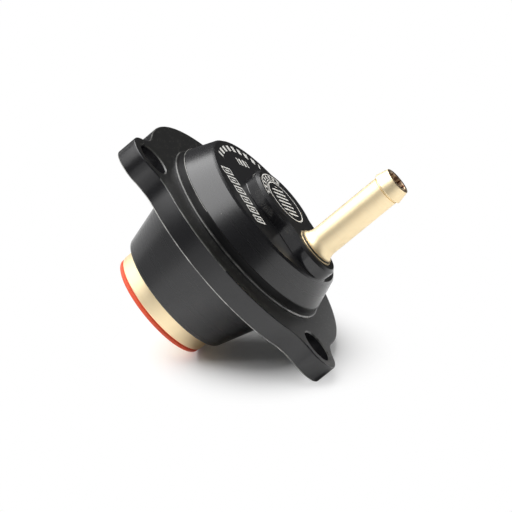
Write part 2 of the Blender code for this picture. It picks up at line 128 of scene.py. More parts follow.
# Cap and boss
CAP_SEAT_GAP = 0.01     # the cap is screwed down on the collar
CAP_RIM_Z = COLLAR_Z + CAP_SEAT_GAP
BOSS_H = 2.95
CAP_TOP_Z = BOSS_Z - BOSS_H
CAP_TOP_R = CAP_RIM_R - 2.0
CAP_RIM_EDGE = 0.05
CAP_CHAMFER_W = 0.5
CAP_CHAMFER_H = 0.45
CAP_TOP_EDGE = 0.08
CAP_SHOULDER_EDGE = 0.2
SPIGOT_R = 17.6
PISTON_TRAVEL = 8.0
CEILING_Z = CROWN_Z + PISTON_TRAVEL + SEAT_GAP
POCKET_Z = SPRING_HIGH_Z + SEAT_GAP
POCKET_R = SPRING_OUT_R + 0.25
CAP_RING_D = 1.4
BOSS_R = 8.4
BOSS_TAB_R = 6.05
BOSS_FILLET_R = 4.0
BOSS_CHAMFER = 0.6
BOSS_FOOT = 0.12
SPOT_FACE_R = WASHER_R + 0.2
SPOT_FACE_DEPTH = 0.25

# Piston and seal
STEM_R = SEAL_OUT_R
PISTON_CUP_R = 10.6
PISTON_FLOOR_Z = 3.5
PISTON_RIM_Z = 0.78     # the seal fills the rest of the step
PISTON_RIM_EDGE = 0.22
CUP_FILLET = 0.4
NOSE_R = 9.7
SHOULDER_Z = 8.7
GUIDE_GROOVE_LOW = 12.7
GUIDE_GROOVE_HIGH = 15.3
GUIDE_GROOVE_R = 12.5
SEAL_IN_R = NOSE_R + 0.05
SEAL_TOP_Z = PISTON_RIM_Z - 0.02
SEAL_NECK_R = SEAL_OUT_R - 0.42
SEAL_BEAD_R = SEAL_OUT_R - 0.16
SEAL_BEAD_TOP_Z = 0.42
SEAL_EDGE_R = 0.3
SEAL_NECK_EDGE = 0.05
SEAL_BEAD_EDGE = 0.1

# Nipple
NIPPLE_SHAFT_R = 3.175
NIPPLE_BORE_R = 2.15
NIPPLE_SHANK_L = 5.2
NIPPLE_Z = NIPPLE_LOW_Z + NIPPLE_SHANK_L
NIPPLE_L = NIPPLE_TIP_Z - NIPPLE_Z
NIPPLE_COLLAR_H = 0.05
NIPPLE_COLLAR_EDGE = 0.04
NIPPLE_FLARE_H = 2.05
NIPPLE_FLARE_STEPS = 12
BARB_R = 3.6
BARB_H = 2.75
BARB_TIP_R = 2.97
BARB_EDGE = 0.15
RELIEF_W = 0.3
RELIEF_DEPTH = 0.2
SHANK_R = 2.85
SHANK_BORE_R = 1.6
SHANK_HOLE_R = SHANK_R + 0.25
WASHER_SEAT_GAP = 0.04
WASHER_TOP_Z = BOSS_Z + 0.05
WASHER_LIP_R = 3.95
WASHER_EDGE = 0.06
LIP_EDGE = 0.05
LIP_GAP = 0.02          # from the rubber to the brass round it and above it

# Return spring
SPRING_WIRE_D = 1.5
SPRING_R = SPRING_OUT_R - SPRING_WIRE_D / 2
SPRING_TURNS = 5        # between the closed end turns
SPRING_STEPS = 40       # points in one turn of the wire

# Facets of round forms
WIDE_STEPS = 288
INNER_STEPS = 144
NARROW_STEPS = 96
FACE_RING_STEPS = 20    # round the section of the ring in the mounting face
OUTLINE_STEP = radians(2)
FILLET_STEPS = 4

# How upright a face's normal is, which tells flat faces, rims and walls apart
FLAT = 0.97
SLANTED = 0.3
WALL = 0.1
RIM_MARGIN = 0.05       # how near a face lies to a hole's rim to count as part of it

# Camera: where it stands, and the way it is turned about the upright valve
CAMERA_PLACE = (242.99, -549.37, 186.48)
CAMERA_AZIMUTH = 23.42
CAMERA_ELEVATION = 15.30
CAMERA_ROLL = 50.59
CAMERA_LENS = 218.0
SENSOR_WIDTH = 36.0
CLIP_START = 0.05

# Softbox, in metres from the spot under the valve: right, away and up
SOFTBOX_PLACE = (-0.2475, 0.1395, 0.45)
SOFTBOX_SIZE = (0.675, 0.891)
SOFTBOX_WATTS = 7.7
ROOM_STRENGTH = 0.07

# White cards round the table: name, azimuth from straight away, width, height in metres, radiance
CARD_DISTANCE = 0.45
CARDS = (
    ("far_left_card", -50, 0.36, 0.16, 0.8),
    ("left_card", -97, 0.38, 0.13, 0.42),
    ("front_card", -160, 0.34, 0.14, 0.6),
)

# Table's outline in metres, right and away from the valve: the room beyond it is dim
TABLE_OUTLINE = (
    (-0.35, -0.35), (0.35, -0.35), (0.22, -0.05), (0.10, 0.045),
    (0.03, 0.095), (-0.09, 0.29), (-0.35, 0.34),
)
TABLE_SPOT = (0.010, 0.008, 0.010)      # a point in the valve, above the table's origin
TABLE_GAP = 0.00002
SHADOW_CENTRE = (0.0035, -0.001, 0.0)
SHADOW_FADE = (0.011, 0.030)            # the camera sees the shadow fade out between these
MIRROR_FADE = (0.028, 0.048)            # and mirrored in the valve, between these
FAINT_GLOW = 0.02                       # the least share of plain white in the shadow
MIRROR_GLOW = 0.15                      # how much brighter the paper is when mirrored


def linear(code):
    """A colour written as sRGB hex, turned to linear red, green, blue and alpha."""
    values = [int(code[i:i + 2], 16) / 255 for i in (1, 3, 5)]
    return [v / 12.92 if v <= 0.04045 else ((v + 0.055) / 1.055) ** 2.4 for v in values] + [1.0]


def fine(size):
    """The texture scale at which a pattern repeats about every so many millimetres."""
    return 1 / (size * MM)


def add(tree, kind, inputs=None, **settings):
    """Add a node with its settings. An input that is another node's socket is linked."""
    new = tree.nodes.new(kind)
    for name, value in settings.items():
        setattr(new, name, value)
    for key, value in (inputs or {}).items():
        if isinstance(value, bpy.types.NodeSocket):
            tree.links.new(value, new.inputs[key])
        else:
            new.inputs[key].default_value = value
    return new


def surface(name, **shader):
    """A material and its shader, whose uniform values are set on the shader's own sockets."""
    mat = bpy.data.materials.new(name)
    mat.use_nodes = True
    principled = mat.node_tree.nodes["Principled BSDF"]
    for key, value in shader.items():
        principled.inputs[key.replace("_", " ")].default_value = value
    return mat, mat.node_tree, principled


def calc(tree, operation, *values, clamp=False):
    """The result of one sum on sockets or numbers."""
    inputs = dict(enumerate(values))
    return add(tree, "ShaderNodeMath", inputs, operation=operation, use_clamp=clamp).outputs[0]


def blend_colours(tree, share, first, second):
    mix = add(tree, "ShaderNodeMix", {0: share, 6: first, 7: second}, data_type="RGBA")
    return mix.outputs[2]


def place_on_valve(tree):
    """Coordinates in metres in the valve's own frame, and the height along its axis."""
    coords = add(tree, "ShaderNodeTexCoord").outputs["Object"]
    axes = add(tree, "ShaderNodeSeparateXYZ", {0: coords})
    return coords, axes


def tool_lines(tree, height, pitch):
    """Turning marks round the axis: noise that changes only with the height."""
    return add(
        tree, "ShaderNodeTexNoise",
        {"W": height, "Scale": fine(pitch), "Detail": 3.0, "Roughness": 0.6},
        noise_dimensions="1D",
    ).outputs[0]


def specks(tree, coords, spacing, share, radius):
    """1 in small dots: one cell in so many, of a given spacing and dot radius in millimetres."""
    cells = add(tree, "ShaderNodeTexVoronoi", {"Vector": coords, "Scale": fine(spacing)})
    chosen = calc(tree, "LESS_THAN", add(
        tree, "ShaderNodeSeparateColor", {0: cells.outputs["Color"]}).outputs[0], share)
    inside = calc(tree, "LESS_THAN", cells.outputs["Distance"], radius / spacing)
    return calc(tree, "MULTIPLY", chosen, inside)


def turned_anodised():
    """Black anodised aluminium, turned: a dyed oxide skin with satin, slightly lined gloss."""
    mat, tree, shader = surface("black_anodised_turned", IOR=1.6)
    coords, axes = place_on_valve(tree)
    lines = tool_lines(tree, axes.outputs[2], 0.35)
    cloud = add(tree, "ShaderNodeTexNoise", {"Vector": coords, "Scale": fine(6.0), "Detail": 2.0})
    base = blend_colours(tree, cloud.outputs[0], linear("#121214"), linear("#18181a"))
    dust = specks(tree, coords, 1.8, 0.10, 0.10)
    tree.links.new(blend_colours(tree, dust, base, linear("#5c5b57")), shader.inputs["Base Color"])
    rough = add(tree, "ShaderNodeMapRange", {0: lines, 3: 0.26, 4: 0.28}).outputs[0]
    tree.links.new(rough, shader.inputs["Roughness"])
    bump = add(tree, "ShaderNodeBump", {"Strength": 0.004, "Distance": 0.02 * MM, "Height": lines})
    tree.links.new(bump.outputs[0], shader.inputs["Normal"])
    return mat


def blasted_anodised():
    """Black anodised aluminium, bead-blasted: dull, pitted and sparkling in single grains."""
    mat, tree, shader = surface("black_anodised_blasted", IOR=1.6)
    coords, _ = place_on_valve(tree)
    # The real grit is finer than a pixel, so it is drawn at 0.3 mm
    grit = add(tree, "ShaderNodeTexNoise", {"Vector": coords, "Scale": fine(0.3), "Detail": 4.0})
    base = blend_colours(tree, grit.outputs[0], linear("#060607"), linear("#252524"))
    sparkle = specks(tree, coords, 0.55, 0.35, 0.12)
    base = blend_colours(tree, sparkle, base, linear("#706f68"))
    tree.links.new(base, shader.inputs["Base Color"])
    rough = add(tree, "ShaderNodeMapRange", {0: grit.outputs[0], 3: 0.30, 4: 0.46}).outputs[0]
    tree.links.new(rough, shader.inputs["Roughness"])
    bump = add(tree, "ShaderNodeBump", {
        "Strength": 0.35, "Distance": 0.04 * MM, "Height": grit.outputs[0]})
    tree.links.new(bump.outputs[0], shader.inputs["Normal"])
    return mat


def milled_anodised(name, smooth, rough):
    """Black anodised aluminium, milled: even gloss with faint upright marks of the cutter."""
    mat, tree, shader = surface(name, IOR=1.6)
    coords, _ = place_on_valve(tree)
    marks = add(tree, "ShaderNodeMapping", {"Vector": coords, "Scale": (1.0, 1.0, 0.15)})
    cuts = add(tree, "ShaderNodeTexNoise", {
        "Vector": marks.outputs[0], "Scale": fine(0.6), "Detail": 2.0})
    base = blend_colours(tree, cuts.outputs[0], linear("#101012"), linear("#1c1c1e"))
    chips = specks(tree, coords, 1.2, 0.12, 0.12)
    tree.links.new(blend_colours(tree, chips, base, linear("#4b4a47")), shader.inputs["Base Color"])
    gloss = add(tree, "ShaderNodeMapRange", {0: cuts.outputs[0], 3: smooth, 4: rough}).outputs[0]
    tree.links.new(gloss, shader.inputs["Roughness"])
    bump = add(tree, "ShaderNodeBump", {
        "Strength": 0.06, "Distance": 0.02 * MM, "Height": cuts.outputs[0]})
    tree.links.new(bump.outputs[0], shader.inputs["Normal"])
    return mat


def edge_highlight_and_scuff_anodised(name, dark, light):
    """Anodised aluminium on an edge: pale grey as painted highlight, with some wear of the black
    skin.
    """
    mat, tree, shader = surface(name, IOR=1.6)
    coords, _ = place_on_valve(tree)
    # Pale grey is painted highlight along the edge, with some wear; the noise makes it patchy
    scuffs_and_highlight = add(tree, "ShaderNodeTexNoise", {"Vector": coords, "Scale": fine(2.5), "Detail": 4.0})
    spread = add(tree, "ShaderNodeMapRange", {0: scuffs_and_highlight.outputs[0], 1: 0.35, 2: 0.65}).outputs[0]
    tint = blend_colours(tree, spread, linear(dark), linear(light))
    tree.links.new(tint, shader.inputs["Base Color"])
    rough = add(tree, "ShaderNodeMapRange", {0: spread, 3: 0.24, 4: 0.36}).outputs[0]
    tree.links.new(rough, shader.inputs["Roughness"])
    return mat


def shade_darkened_anodised():
    """Black anodised aluminium on the collar under the cap: darker and duller as painted shade."""
    mat, tree, shader = surface("black_anodised_painted_shade", IOR=1.6, Specular_IOR_Level=0.2)
    coords, axes = place_on_valve(tree)
    lines = tool_lines(tree, axes.outputs[2], 0.35)
    # Darker base and weak gloss: painted shade on the collar
    base = blend_colours(tree, lines, linear("#080809"), linear("#101011"))
    tree.links.new(base, shader.inputs["Base Color"])
    rough = add(tree, "ShaderNodeMapRange", {0: lines, 3: 0.3, 4: 0.4}).outputs[0]
    tree.links.new(rough, shader.inputs["Roughness"])
    return mat


def bore_shade_brass():
    """Brass in the bore and at the tip: dark brown as painted shade, with paler streaks along the
    hole.
    """
    mat, tree, shader = surface("brass_bore_shade", Metallic=1.0)
    coords, _ = place_on_valve(tree)
    along = add(tree, "ShaderNodeMapping", {"Vector": coords, "Scale": (1.0, 1.0, 0.12)})
    streaks = add(tree, "ShaderNodeTexNoise", {
        "Vector": along.outputs[0], "Scale": fine(0.9), "Detail": 3.0})
    sharp = add(tree, "ShaderNodeMapRange", {0: streaks.outputs[0], 1: 0.38, 2: 0.58}).outputs[0]
    # Dark brown is painted shade in the bore and on the tip's face
    tint = blend_colours(tree, sharp, linear("#74402c"), linear("#ffe9c8"))
    tree.links.new(tint, shader.inputs["Base Color"])
    rough = add(tree, "ShaderNodeMapRange", {0: sharp, 3: 0.3, 4: 0.5}).outputs[0]
    tree.links.new(rough, shader.inputs["Roughness"])
    return mat


def band(tree, value, low, high):
    """1 between two values, and 0 outside them."""
    above = calc(tree, "GREATER_THAN", value, low)
    below = calc(tree, "LESS_THAN", value, high)
    return calc(tree, "MULTIPLY", above, below)


def stripes(tree, value, pitch, share):
    """1 on evenly spaced stripes, each so wide a share of its pitch."""
    step = calc(tree, "FRACT", calc(tree, "DIVIDE", value, pitch))
    return calc(tree, "LESS_THAN", step, share)


def either(tree, *masks):
    """1 where any of the masks is 1."""
    total = masks[0]
    for mask in masks[1:]:
        total = calc(tree, "MAXIMUM", total, mask)
    return total


def both(tree, *masks):
    """1 where all of the masks are 1."""
    total = masks[0]
    for mask in masks[1:]:
        total = calc(tree, "MULTIPLY", total, mask)
    return total


def sector(tree, angle, middle, half):
    """1 within so many degrees either side of a direction."""
    off = calc(tree, "COSINE", calc(tree, "SUBTRACT", angle, radians(middle)))
    return calc(tree, "GREATER_THAN", off, cos(radians(half)))


def outlined_bars(tree, along, across, start, count, pitch, width, low, high, line):
    """A row of bars drawn in outline, each with a short stroke inside."""
    from_start = calc(tree, "SUBTRACT", along, start)
    step = calc(tree, "MULTIPLY", calc(tree, "FRACT", calc(
        tree, "DIVIDE", from_start, pitch)), pitch)
    row = band(tree, from_start, 0.0, count * pitch)
    outer = both(tree, band(tree, step, 0.0, width), band(tree, across, low, high))
    inner = both(tree, band(tree, step, line, width - line),
                 band(tree, across, low + line, high - line))
    middle = (low + high) / 2
    stroke = both(tree, band(tree, step, (width - line) / 2, (width + line) / 2),
                  band(tree, across, middle - 0.9, middle + 0.9))
    outline = calc(tree, "SUBTRACT", outer, inner, clamp=True)
    return both(tree, row, either(tree, outline, stroke))


def etched_marks(tree, axes):
    """Plain laser marks: rings and bars on the boss, and rows of ticks and bars on the cap.

    They are placed by radius and by x and y in millimetres, and by angle in degrees.
    """
    x = calc(tree, "MULTIPLY", axes.outputs[0], 1 / MM)
    y = calc(tree, "MULTIPLY", axes.outputs[1], 1 / MM)
    squares = calc(tree, "ADD", calc(tree, "MULTIPLY", x, x), calc(tree, "MULTIPLY", y, y))
    radius = calc(tree, "SQRT", squares)
    angle = calc(tree, "ADD", calc(tree, "ARCTAN2", y, x), pi)
    on_boss = calc(tree, "GREATER_THAN", axes.outputs[2], (CAP_TOP_Z + BOSS_Z) / 2 * MM)
    on_cap = calc(tree, "SUBTRACT", 1.0, on_boss)
    boss = either(
        tree,
        band(tree, radius, 4.9, 5.2),
        both(tree, band(tree, radius, 5.5, 5.7), sector(tree, angle, 25, 55)),
        both(tree, band(tree, radius, 6.9, 7.15), sector(tree, angle, 25, 60)),
        both(tree, band(tree, radius, 5.9, 6.7), stripes(tree, angle, tau / 24, 0.45),
             sector(tree, angle, 25, 55)),
        both(tree, band(tree, y, -3.1, 2.2), stripes(tree, x, 1.047, 0.4),
             calc(tree, "LESS_THAN", radius, 3.9)),
    )
    row = outlined_bars(tree, x, y, -8.6, 6, 2.5, 1.9, -14.5, -10.6, 0.36)
    curved_row = both(tree, sector(tree, angle, 3, 36), band(tree, radius, 15.3, 16.7),
                      stripes(tree, angle, tau / 40, 0.5))
    short_row = both(tree, band(tree, y, -2.6, 1.9), band(tree, x, -13.4, -11.6),
                     stripes(tree, y, 1.5, 0.55))
    cap = either(tree, row, curved_row, short_row)
    return either(tree, both(tree, boss, on_boss), both(tree, cap, on_cap))


def etched_anodised():
    """Black anodised aluminium, faced and laser-etched: matt black with pale grey plain marks."""
    mat, tree, shader = surface("black_anodised_etched", IOR=1.6)
    coords, axes = place_on_valve(tree)
    grain = add(tree, "ShaderNodeTexNoise", {"Vector": coords, "Scale": fine(0.4), "Detail": 3.0})
    base = blend_colours(tree, grain.outputs[0], linear("#0b0b0d"), linear("#1e1e20"))
    dust = specks(tree, coords, 1.3, 0.12, 0.16)
    base = blend_colours(tree, dust, base, linear("#5c5b57"))
    marks = etched_marks(tree, axes)
    tree.links.new(blend_colours(tree, marks, base, linear("#f8f7f2")), shader.inputs["Base Color"])
    rough = add(tree, "ShaderNodeMapRange", {0: marks, 3: 0.4, 4: 0.65}).outputs[0]
    tree.links.new(rough, shader.inputs["Roughness"])
    bump = add(tree, "ShaderNodeBump", {
        "Strength": 0.12, "Distance": 0.02 * MM, "Height": grain.outputs[0]})
    tree.links.new(bump.outputs[0], shader.inputs["Normal"])
    return mat


def turned_brass(name, line_depth):
    """Brass, turned and left bright: pale gold, its gloss stretched across the tool's lines."""
    mat, tree, shader = surface(
        name, Metallic=1.0, Anisotropic=0.15, Anisotropic_Rotation=0.25)
    tangent = add(tree, "ShaderNodeTangent", direction_type="RADIAL", axis="Z").outputs[0]
    tree.links.new(tangent, shader.inputs["Tangent"])
    coords, axes = place_on_valve(tree)
    # The tool's feed is about 0.1 mm, drawn at 0.3 mm so that the lines show
    lines = tool_lines(tree, axes.outputs[2], 0.3)
    haze = add(tree, "ShaderNodeTexNoise", {"Vector": coords, "Scale": fine(4.0), "Detail": 2.0})
    shade = calc(tree, "ADD", calc(tree, "MULTIPLY", lines, 0.7), calc(
        tree, "MULTIPLY", haze.outputs[0], 0.3))
    tint = blend_colours(tree, shade, linear("#ffe6b8"), linear("#fff1cf"))
    tree.links.new(tint, shader.inputs["Base Color"])
    rough = add(tree, "ShaderNodeMapRange", {0: shade, 3: 0.47, 4: 0.55}).outputs[0]
    tree.links.new(rough, shader.inputs["Roughness"])
    bump = add(tree, "ShaderNodeBump", {
        "Strength": line_depth, "Distance": 0.02 * MM, "Height": lines})
    tree.links.new(bump.outputs[0], shader.inputs["Normal"])
    return mat


def moulded_silicone():
    """Silicone rubber, moulded and dyed orange: soft satin with a faint powdery grain."""
    mat, tree, shader = surface("orange_silicone_moulded", IOR=1.41, Subsurface_Weight=0.08)
    shader.inputs["Subsurface Radius"].default_value = (0.002, 0.0006, 0.0004)
    coords, _ = place_on_valve(tree)
    grain = add(tree, "ShaderNodeTexNoise", {"Vector": coords, "Scale": fine(0.8), "Detail": 3.0})
    tint = blend_colours(tree, grain.outputs[0], linear("#cf4a2c"), linear("#de5b3c"))
    tree.links.new(tint, shader.inputs["Base Color"])
    rough = add(tree, "ShaderNodeMapRange", {0: grain.outputs[0], 3: 0.42, 4: 0.56}).outputs[0]
    tree.links.new(rough, shader.inputs["Roughness"])
    bump = add(tree, "ShaderNodeBump", {
        "Strength": 0.08, "Distance": 0.03 * MM, "Height": grain.outputs[0]})
    tree.links.new(bump.outputs[0], shader.inputs["Normal"])
    return mat


def moulded_rubber():
    """Nitrile rubber, moulded: black, with a dull bloom."""
    mat, tree, shader = surface("black_nitrile_moulded", IOR=1.52)
    coords, _ = place_on_valve(tree)
    bloom = add(tree, "ShaderNodeTexNoise", {"Vector": coords, "Scale": fine(1.5), "Detail": 4.0})
    tint = blend_colours(tree, bloom.outputs[0], linear("#161616"), linear("#242423"))
    tree.links.new(tint, shader.inputs["Base Color"])
    rough = add(tree, "ShaderNodeMapRange", {0: bloom.outputs[0], 3: 0.45, 4: 0.65}).outputs[0]
    tree.links.new(rough, shader.inputs["Roughness"])
    return mat


def drawn_steel():
    """Music wire, drawn: grey steel with a thin film of oil that varies its gloss."""
    mat, tree, shader = surface("spring_wire_drawn", Metallic=1.0)
    coords, _ = place_on_valve(tree)
    film = add(tree, "ShaderNodeTexNoise", {"Vector": coords, "Scale": fine(1.2), "Detail": 3.0})
    tint = blend_colours(tree, film.outputs[0], linear("#a9a8a4"), linear("#c3c2be"))
    tree.links.new(tint, shader.inputs["Base Color"])
    rough = add(tree, "ShaderNodeMapRange", {0: film.outputs[0], 3: 0.22, 4: 0.4}).outputs[0]
    tree.links.new(rough, shader.inputs["Roughness"])
    return mat


def filled_ptfe():
    """PTFE strip filled with bronze powder: waxy brown with darker flecks."""
    mat, tree, shader = surface("bronze_filled_ptfe", IOR=1.38, Roughness=0.45)
    coords, _ = place_on_valve(tree)
    flecks = add(tree, "ShaderNodeTexNoise", {"Vector": coords, "Scale": fine(0.3), "Detail": 5.0})
    tint = blend_colours(tree, flecks.outputs[0], linear("#5f4a30"), linear("#8b6d45"))
    tree.links.new(tint, shader.inputs["Base Color"])
    return mat


def rounded(corners, closed=False):
    """A profile from corners of (radius, height, fillet), with an arc at each fillet."""
    points = []
    count = len(corners)
    for i, (x, z, fillet) in enumerate(corners):
        if fillet == 0 or (not closed and i in (0, count - 1)):
            points.append((x, z))
            continue
        here = Vector((x, z))
        back = (Vector(corners[i - 1][:2]) - here).normalized()
        ahead = (Vector(corners[(i + 1) % count][:2]) - here).normalized()
        half = back.angle(ahead) / 2
        middle = here + (back + ahead).normalized() * fillet / sin(half)
        start = here + back * fillet / tan(half) - middle
        end = here + ahead * fillet / tan(half) - middle
        turn = start.angle_signed(end)
        for k in range(FILLET_STEPS + 1):
            spoke = Matrix.Rotation(-turn * k / FILLET_STEPS, 2) @ start
            points.append(tuple(middle + spoke))
    return points


def turned(name, profile, steps, closed=False):
    """A piece turned about Z from a profile that runs down its outer side."""
    mesh = bpy.data.meshes.new(name)
    edges = [(i, i + 1) for i in range(len(profile) - 1)]
    if closed:
        edges.append((len(profile) - 1, 0))
    mesh.from_pydata([(r * MM, 0.0, z * MM) for r, z in profile], edges, [])
    obj = bpy.data.objects.new(name, mesh)
    bpy.context.scene.collection.objects.link(obj)
    screw = obj.modifiers.new("turn", "SCREW")
    screw.axis = "Z"
    screw.angle = tau
    screw.steps = steps
    screw.render_steps = steps
    screw.use_merge_vertices = True
    screw.merge_threshold = 0.000001
    return bake(obj)


def bake(obj):
    """The object with its modifiers applied, as a plain mesh of the same name."""
    bpy.context.view_layer.update()
    graph = bpy.context.evaluated_depsgraph_get()
    mesh = bpy.data.meshes.new_from_object(obj.evaluated_get(graph))
    name = obj.name
    place = obj.matrix_world.copy()
    bpy.data.objects.remove(obj, do_unlink=True)
    solid = bpy.data.objects.new(name, mesh)
    solid.matrix_world = place
    bpy.context.scene.collection.objects.link(solid)
    return solid


def plate(name, outline, low, high, edge, segments):
    """A flat outline of (x, y) between two heights, with rounded or, in one segment, flat rims."""
    bm = bmesh.new()
    face = bm.faces.new([bm.verts.new((x * MM, y * MM, low * MM)) for x, y in outline])
    raised = bmesh.ops.extrude_face_region(bm, geom=[face])
    for item in raised["geom"]:
        if isinstance(item, bmesh.types.BMVert):
            item.co.z = high * MM
    bmesh.ops.recalc_face_normals(bm, faces=bm.faces)
    mesh = bpy.data.meshes.new(name)
    bm.to_mesh(mesh)
    bm.free()
    obj = bpy.data.objects.new(name, mesh)
    bpy.context.scene.collection.objects.link(obj)
    bevel = obj.modifiers.new("edge", "BEVEL")
    bevel.width = edge * MM
    bevel.segments = segments
    bevel.limit_method = "ANGLE"
    bevel.angle_limit = radians(50)
    return bake(obj)


def combine(obj, tool, operation):
    """Join or cut one solid with another, which is used up."""
    boolean = obj.modifiers.new(operation, "BOOLEAN")
    boolean.operation = operation
    boolean.solver = "EXACT"
    boolean.object = tool
    result = bake(obj)
    bpy.data.objects.remove(tool, do_unlink=True)
    return result


def finish(obj, body, node, slot, *materials, pick=None):
    """Shade a piece, seat it on its body in place of its CAD node and give it its materials.

    Where there are several, a rule picks one by a face's place in millimetres and its normal.
    """
    mesh = obj.data
    mesh.materials.clear()
    for mat in materials:
        mesh.materials.append(mat)
    if pick is not None:
        for polygon in mesh.polygons:
            polygon.material_index = pick(polygon.center / MM, polygon.normal)
    mesh.shade_smooth()
    mesh.set_sharp_from_angle(angle=radians(32))
    weights = obj.modifiers.new("flat_faces", "WEIGHTED_NORMAL")
    weights.keep_sharp = True
    weights.weight = 100
    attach(obj, body)
    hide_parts(node)
    return obj


def arc(cx, cy, radius, start, end):
    """Points on an arc, both ends included."""
    count = max(2, ceil(abs(end - start) / OUTLINE_STEP))
    angles = [start + (end - start) * i / count for i in range(count + 1)]
    return [(cx + radius * cos(a), cy + radius * sin(a)) for a in angles]


def short_arc(cx, cy, radius, start, end):
    """The short arc about a centre that faces from one point round to another."""
    a = atan2(start[1] - cy, start[0] - cx)
    b = atan2(end[1] - cy, end[0] - cx)
    return arc(cx, cy, radius, a, a + (b - a + pi) % tau - pi)


def join_points(*runs):
    """One outline from several runs, without the doubles where they meet."""
    points = []
    for run in runs:
        for point in run:
            if not points or (Vector(point) - Vector(points[-1])).length > 0.001:
                points.append(point)
    if (Vector(points[0]) - Vector(points[-1])).length <= 0.001:
        points.pop()
    return points


def ear_angles():
    return [tau * i / EAR_COUNT for i in range(EAR_COUNT)]


def flange_outline():
    """A disc with ears, each blended into the disc by two concave fillets."""
    far = FLANGE_R + EAR_FILLET_R
    near = EAR_R + EAR_FILLET_R
    offset = acos((EAR_PITCH_R ** 2 + far ** 2 - near ** 2) / (2 * EAR_PITCH_R * far))
    swing = atan2(far * sin(offset), far * cos(offset) - EAR_PITCH_R)
    runs = []
    for a in ear_angles():
        ear = (EAR_PITCH_R * cos(a), EAR_PITCH_R * sin(a))
        first = (far * cos(a - offset), far * sin(a - offset))
        last = (far * cos(a + offset), far * sin(a + offset))
        runs.append(short_arc(*first, EAR_FILLET_R, (0, 0), ear))
        runs.append(arc(*ear, EAR_R, a - swing, a + swing))
        runs.append(short_arc(*last, EAR_FILLET_R, ear, (0, 0)))
        runs.append(arc(0, 0, FLANGE_R, a + offset, a + tau / EAR_COUNT - offset))
    return join_points(*runs)


def boss_outline(spread):
    """A disc on the valve's axis and a round tab about the nipple, with concave blends.

    It can be drawn a little wider, by the spread.
    """
    fy = BOSS_TAB_R + BOSS_FILLET_R
    fx = sqrt((BOSS_R + BOSS_FILLET_R) ** 2 - fy ** 2)
    on_disc = atan2(fy, fx)
    return join_points(
        arc(0, 0, BOSS_R + spread, on_disc, tau - on_disc),
        short_arc(fx, -fy, BOSS_FILLET_R - spread, (0, 0), (fx, 0)),
        arc(NIPPLE_X, 0, BOSS_TAB_R + spread, -pi / 2, pi / 2),
        short_arc(fx, fy, BOSS_FILLET_R - spread, (fx, 0), (0, 0)),
    )


def move(obj, x=0.0, y=0.0, z=0.0):
    obj.data.transform(Matrix.Translation((x * MM, y * MM, z * MM)))
    return obj


def between(value, low, high):
    return low - 0.01 <= value <= high + 0.01


def by_bolt_hole(place):
    """Whether a place is on the rim of a bolt hole."""
    reaches = [
        Vector((place.x - EAR_PITCH_R * cos(a), place.y - EAR_PITCH_R * sin(a))).length
        for a in ear_angles()
    ]
    return min(reaches) < BOLT_HOLE_R + BOLT_HOLE_CHAMFER + RIM_MARGIN


def body_finish(place, normal):
    """0 turned, 1 blasted on the flange's top, 2 and 3 pale on rims, 4 darkened on the collar.

    The pale rims are painted highlights with some wear, most on the side away from the nipple,
    and a painted glint lies on the step under the nipple. The collar is darker as painted shade.
    """
    land_z = FLANGE_Z + LAND_H
    if WALL < abs(normal.z) < FLAT:
        highlight_side = place.x < FLANGE_R / 2 and place.xy.length < FLANGE_R + 1
        lower_rim = between(place.z, FACE_Z, FACE_Z + BOLT_HOLE_CHAMFER)
        upper_rim = between(place.z, FLANGE_Z - FLANGE_EDGE, FLANGE_Z)
        collar_rim = between(place.z, COLLAR_Z - COLLAR_EDGE, COLLAR_Z)
        step = between(place.z, land_z - 2 * EDGE_R, land_z)
        # The pale rims here are painted highlights, with a painted glint on the step by the nipple
        if lower_rim or (collar_rim and place.x < 0) or (step and place.x > LAND_R * GLINT_SIDE):
            return 2
        if step or by_bolt_hole(place) or (upper_rim and highlight_side):
            return 3
    # The collar under the cap gets the darker finish as painted shade
    if place.z > land_z + 0.1 and place.xy.length > COLLAR_R - 0.2:
        return 4
    return int(normal.z > FLAT and place.z > FLANGE_Z - 0.1)


def cap_finish(place, normal):
    """0 turned, 1 faced and etched on the tops, 2 milled on the boss, 3 on its chamfer."""
    if place.z < CAP_TOP_Z - 0.1:
        return 0
    if normal.z > FLAT:
        return 1
    return 3 if normal.z > SLANTED and place.z > BOSS_Z - BOSS_CHAMFER else 2


def nipple_finish(place, normal):
    """0 turned, 1 darkened as painted shade inside the bore and on the cut face at the tip."""
    outwards = normal.x * (place.x - NIPPLE_X) + normal.y * place.y
    at_tip = normal.z > 0.5 and place.z > NIPPLE_TIP_Z - 0.5
    return int(outwards < -0.1 or at_tip)


